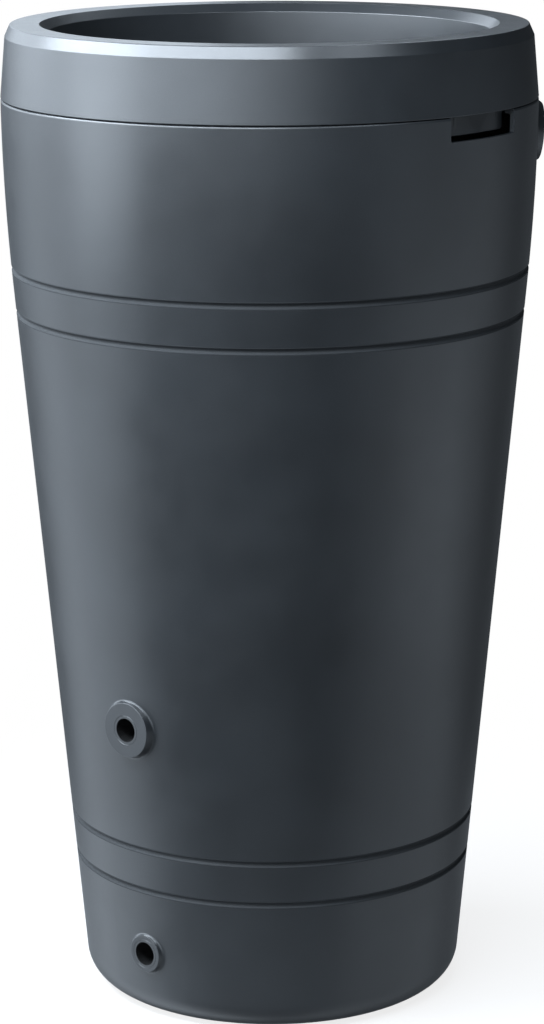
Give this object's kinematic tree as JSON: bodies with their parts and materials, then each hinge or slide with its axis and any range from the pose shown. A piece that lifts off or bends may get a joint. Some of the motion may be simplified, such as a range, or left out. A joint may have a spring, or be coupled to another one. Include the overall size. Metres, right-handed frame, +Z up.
{
  "type": "rain barrel",
  "caption": "Tapered round rain barrel in dark plastic with a lift-off planting bowl on top, grip slots in the rim, grooved bands and raised threaded ports.",
  "frame": {"origin": "centre of the base, on the ground", "axes": "+Z up, the tap ports face -Y, the grip slots are at +X and -X"},
  "size_m": [0.5612, 0.561, 1.04],
  "materials": {
    "barrel": "fine moulded grain, satin graphite",
    "bowl": "fine moulded grain, satin graphite",
    "insert": "smooth graphite polymer",
    "strainer": "smooth black polymer"
  },
  "bodies": {
    "barrel": {"barrel_shell": "barrel", "upper_tap_insert": "insert", "lower_tap_insert": "insert", "inlet_insert": "insert"},
    "bowl": {"planting_bowl": "bowl"},
    "strainer": {"bowl_strainer": "strainer"}
  },
  "joints": [
    {"name": "bowl_lift", "type": "slide", "parent": "barrel", "child": "bowl", "axis": [0, 0, 1], "range_m": [0, 0.3]},
    {"name": "strainer_lift", "type": "slide", "parent": "bowl", "child": "strainer", "axis": [0, 0, 1], "range_m": [0, 0.25]}
  ]
}
